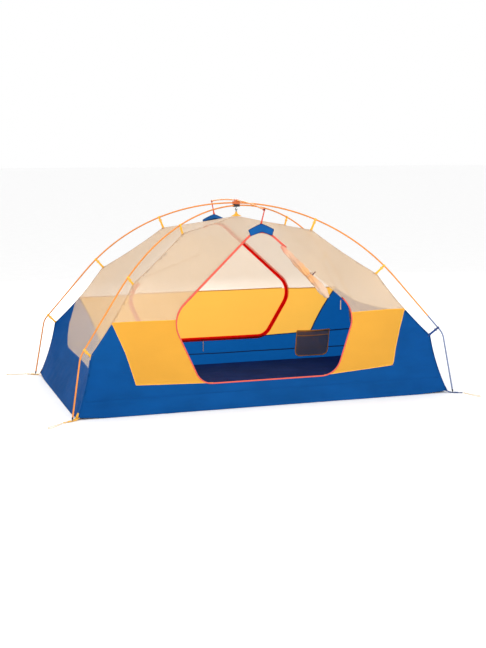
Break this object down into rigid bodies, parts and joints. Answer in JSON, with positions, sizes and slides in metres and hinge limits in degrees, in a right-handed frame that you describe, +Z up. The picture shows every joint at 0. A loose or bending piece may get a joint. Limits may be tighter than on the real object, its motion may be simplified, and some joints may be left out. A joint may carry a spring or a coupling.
{
  "type": "tent on poles",
  "caption": "Freestanding dome tent body hung by clips from two crossed poles and a short brow pole, with mesh upper walls, an open front door and a zipped rear door.",
  "frame": {"origin": "on the ground under the middle of the floor", "axes": "+X along the tent's length towards the foot end, -Y towards the open front door, +Z up"},
  "size_m": [2.6559, 1.5512, 1.1403],
  "materials": {
    "pole_orange": "satin orange anodised aluminium tube",
    "pole_blue": "satin blue-grey anodised aluminium tube",
    "ferrule": "plain aluminium",
    "tip": "dark turned metal tips",
    "elastic": "braided elastic cord",
    "hub_plastic": "matte black moulded nylon",
    "clip_yellow": "moulded yellow acetal",
    "clip_blue": "moulded dark blue acetal",
    "webbing_yellow": "woven polyester webbing",
    "webbing_red": "woven polyester webbing",
    "hood_blue": "coated polyester, lightly stiffened",
    "floor_fabric": "coated polyester taffeta",
    "bathtub_fabric": "royal blue coated polyester taffeta",
    "panel_fabric": "golden yellow polyester taffeta",
    "mesh": "fine tan insect mesh",
    "rolled_mesh": "rolled mesh and fabric",
    "toggle_plastic": "dark red moulded toggle",
    "zip_coral": "coral nylon coil zip",
    "zip_red": "red nylon coil zip",
    "slider_metal": "enamelled slider",
    "pull_cord": "braided cord pull",
    "pocket_mesh": "black mesh with orange binding",
    "stake_cord": "braided guy cord"
  },
  "bodies": {
    "root": {"pole_a_crown_sections": "pole_orange", "pole_a_side_sections": "pole_orange", "pole_b_crown_sections": "pole_orange", "pole_b_side_sections": "pole_orange", "pole_legs_orange": "pole_orange", "pole_legs_blue": "pole_blue", "pole_ferrules": "ferrule", "pole_tips": "tip", "shock_cords": "elastic", "hub_lower": "hub_plastic", "hub_upper": "hub_plastic", "hub_rivets": "ferrule", "crown_hook": "hub_plastic", "apex_loop": "webbing_yellow", "clip_straps": "webbing_yellow", "brow_tab_front": "webbing_red", "brow_tab_rear": "webbing_red", "vent_hoods": "hood_blue", "floor_sheet": "floor_fabric", "bathtub_ends": "bathtub_fabric", "bathtub_front": "bathtub_fabric", "bathtub_rear": "bathtub_fabric", "front_panels": "panel_fabric", "rear_panels": "panel_fabric", "mesh_ends": "mesh", "mesh_front": "mesh", "mesh_rear": "mesh", "rolled_door": "rolled_mesh", "front_zip": "zip_coral", "rear_zip": "zip_red", "mesh_pocket": "pocket_mesh", "corner_straps": "webbing_yellow", "corner_grommets": "ferrule", "stake_loop_front_left": "stake_cord", "stake_loop_rear_left": "stake_cord", "stake_loop_front_right": "stake_cord", "stake_loop_rear_right": "stake_cord"},
    "clip_front_left_low": {"clip_front_left_low": "clip_yellow"},
    "clip_front_left_middle": {"clip_front_left_middle": "clip_yellow"},
    "clip_front_left_top": {"clip_front_left_top": "clip_yellow"},
    "clip_rear_right_low": {"clip_rear_right_low": "clip_blue"},
    "clip_rear_right_middle": {"clip_rear_right_middle": "clip_yellow"},
    "clip_rear_right_top": {"clip_rear_right_top": "clip_yellow"},
    "clip_rear_left_low": {"clip_rear_left_low": "clip_yellow"},
    "clip_rear_left_middle": {"clip_rear_left_middle": "clip_yellow"},
    "clip_rear_left_top": {"clip_rear_left_top": "clip_yellow"},
    "clip_front_right_low": {"clip_front_right_low": "clip_blue"},
    "clip_front_right_middle": {"clip_front_right_middle": "clip_yellow"},
    "clip_front_right_top": {"clip_front_right_top": "clip_yellow"},
    "brow": {"brow_pole": "pole_orange", "brow_pole_tips": "tip", "brow_saddle": "hub_plastic"},
    "rear_door": {"rear_door_mesh": "mesh", "rear_door_panel": "panel_fabric", "rear_door_zip": "zip_red"},
    "toggle": {"door_toggle": "toggle_plastic"},
    "front_slider": {"front_slider": "slider_metal"},
    "front_pull": {"front_pull": "pull_cord"},
    "rear_slider": {"rear_slider": "slider_metal"},
    "rear_pull": {"rear_pull": "pull_cord"}
  },
  "joints": [
    {"name": "tilt_front_left_low", "type": "hinge", "parent": "root", "child": "clip_front_left_low", "pos_m": [-1.06295, -0.61827, 0.37501], "axis": [-0.5728, -0.3332, -0.749], "range_deg": [-12, 12]},
    {"name": "tilt_front_left_middle", "type": "hinge", "parent": "root", "child": "clip_front_left_middle", "pos_m": [-0.77976, -0.45355, 0.73909], "axis": [-0.6224, -0.362, -0.6939], "range_deg": [-12, 12]},
    {"name": "tilt_front_left_top", "type": "hinge", "parent": "root", "child": "clip_front_left_top", "pos_m": [-0.42096, -0.24485, 1.00834], "axis": [-0.8015, -0.4662, -0.3746], "range_deg": [-12, 12]},
    {"name": "tilt_rear_right_low", "type": "hinge", "parent": "root", "child": "clip_rear_right_low", "pos_m": [1.06295, 0.61827, 0.37501], "axis": [0.5728, 0.3332, -0.749], "range_deg": [-12, 12]},
    {"name": "tilt_rear_right_middle", "type": "hinge", "parent": "root", "child": "clip_rear_right_middle", "pos_m": [0.77976, 0.45355, 0.73909], "axis": [0.6224, 0.362, -0.6939], "range_deg": [-12, 12]},
    {"name": "tilt_rear_right_top", "type": "hinge", "parent": "root", "child": "clip_rear_right_top", "pos_m": [0.42096, 0.24485, 1.00834], "axis": [0.8015, 0.4662, -0.3746], "range_deg": [-12, 12]},
    {"name": "tilt_rear_left_low", "type": "hinge", "parent": "root", "child": "clip_rear_left_low", "pos_m": [-1.06295, 0.61827, 0.39101], "axis": [-0.5728, 0.3332, -0.749], "range_deg": [-12, 12]},
    {"name": "tilt_rear_left_middle", "type": "hinge", "parent": "root", "child": "clip_rear_left_middle", "pos_m": [-0.77976, 0.45355, 0.75509], "axis": [-0.6224, 0.362, -0.6939], "range_deg": [-12, 12]},
    {"name": "tilt_rear_left_top", "type": "hinge", "parent": "root", "child": "clip_rear_left_top", "pos_m": [-0.42096, 0.24485, 1.02434], "axis": [-0.8015, 0.4662, -0.3746], "range_deg": [-12, 12]},
    {"name": "tilt_front_right_low", "type": "hinge", "parent": "root", "child": "clip_front_right_low", "pos_m": [1.06295, -0.61827, 0.39101], "axis": [0.5728, -0.3332, -0.749], "range_deg": [-12, 12]},
    {"name": "tilt_front_right_middle", "type": "hinge", "parent": "root", "child": "clip_front_right_middle", "pos_m": [0.77976, -0.45355, 0.75509], "axis": [0.6224, -0.362, -0.6939], "range_deg": [-12, 12]},
    {"name": "tilt_front_right_top", "type": "hinge", "parent": "root", "child": "clip_front_right_top", "pos_m": [0.42096, -0.24485, 1.02434], "axis": [0.8015, -0.4662, -0.3746], "range_deg": [-12, 12]},
    {"name": "brow_swivel", "type": "hinge", "parent": "root", "child": "brow", "pos_m": [0, 0, 1.1285], "axis": [0, 0, 1], "range_deg": [-5, 5], "deforming": ["brow_tab_front", "brow_tab_rear"]},
    {"name": "rear_door_fold", "type": "hinge", "parent": "root", "child": "rear_door", "pos_m": [-0.2865, 0.49564, 0.7595], "axis": [0.7486, -0.1341, 0.6493], "range_deg": [0, 100]},
    {"name": "toggle_swing", "type": "hinge", "parent": "root", "child": "toggle", "pos_m": [0.292, -0.54849, 0.75], "axis": [0, 1, 0], "range_deg": [-30, 30]},
    {"name": "front_slider_travel", "type": "hinge", "parent": "root", "child": "front_slider", "pos_m": [0.37746, -0.55507, 0.4717], "axis": [0, 0.9793, -0.2022], "range_deg": [0, 69.9]},
    {"name": "front_pull_swing", "type": "hinge", "parent": "front_slider", "child": "front_pull", "pos_m": [0.47259, -0.52367, 0.5712], "axis": [1, 0, 0], "range_deg": [-10, 50]},
    {"name": "rear_slider_travel", "type": "slide", "parent": "root", "child": "rear_slider", "axis": [1, 0, 0], "range_m": [-0.3, 0.37]},
    {"name": "rear_pull_swing", "type": "hinge", "parent": "rear_slider", "child": "rear_pull", "pos_m": [-0.036, 0.60631, 0.173], "axis": [1, 0, 0], "range_deg": [-50, 10]}
  ]
}
